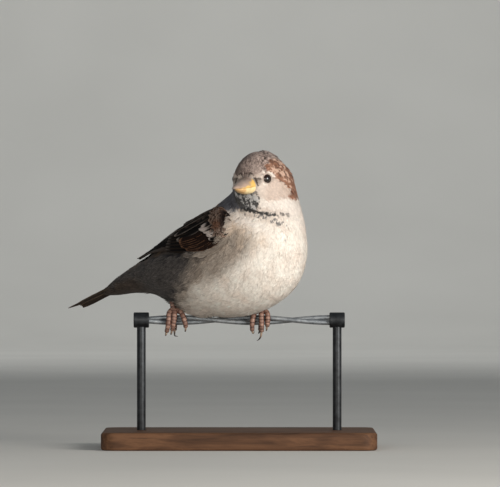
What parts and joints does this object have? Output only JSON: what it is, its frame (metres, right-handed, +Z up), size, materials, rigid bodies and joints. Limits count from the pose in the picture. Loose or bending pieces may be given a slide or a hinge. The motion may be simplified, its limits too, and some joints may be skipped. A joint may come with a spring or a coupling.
{
  "type": "house sparrow",
  "caption": "Still, life-size male house sparrow looking aside, gripping a short cut length of twisted fence wire that a plain display stand holds.",
  "frame": {"origin": "centre of the underside of the stand's base", "axes": "+Z up; +X along the wire perch, to the right as seen from the front; the front, towards which the breast and bill point, is -Y"},
  "size_m": [0.1432, 0.0996, 0.1346],
  "materials": {
    "plumage_head": "fine short feathers, grey-brown crown, chestnut behind the eye, pale cheek",
    "plumage_neck": "soft feathers, black bib tipped pale grey, whitish neck side",
    "plumage_body": "loose cream and buff feathers, greyer on the flank, streaked brown on the back",
    "plumage_tail": "stiff dark brown feathers with paler edges",
    "plumage_wing": "chestnut shoulder, white bar, dark brown feathers with rufous edges",
    "bill": "smooth horn, yellow at the base and underside, grey-brown ridge",
    "eye": "wet dark brown",
    "leg_scales": "pinkish brown scutes",
    "claw": "dark horn",
    "galvanised_wire": "weathered galvanised steel",
    "stand_metal": "satin black paint",
    "base_wood": "satin stained hardwood"
  },
  "bodies": {
    "root": {"head": "plumage_head", "neck": "plumage_neck", "trunk": "plumage_body", "tail": "plumage_tail", "bill_upper": "bill", "bill_lower": "bill", "wing_left": "plumage_wing", "wing_right": "plumage_wing", "eye_left": "eye", "eye_right": "eye", "leg_left": "leg_scales", "leg_right": "leg_scales", "perch_strand_a": "galvanised_wire", "perch_strand_b": "galvanised_wire", "stand_base": "base_wood", "stand_rod_left": "stand_metal", "stand_rod_right": "stand_metal", "stand_clip_left": "stand_metal", "stand_clip_right": "stand_metal", "toe_left_1": "leg_scales", "claw_left_1": "claw", "toe_left_2": "leg_scales", "claw_left_2": "claw", "toe_left_3": "leg_scales", "claw_left_3": "claw", "toe_left_4": "leg_scales", "claw_left_4": "claw", "toe_right_1": "leg_scales", "claw_right_1": "claw", "toe_right_2": "leg_scales", "claw_right_2": "claw", "toe_right_3": "leg_scales", "claw_right_3": "claw", "toe_right_4": "leg_scales", "claw_right_4": "claw"}
  },
  "joints": []
}
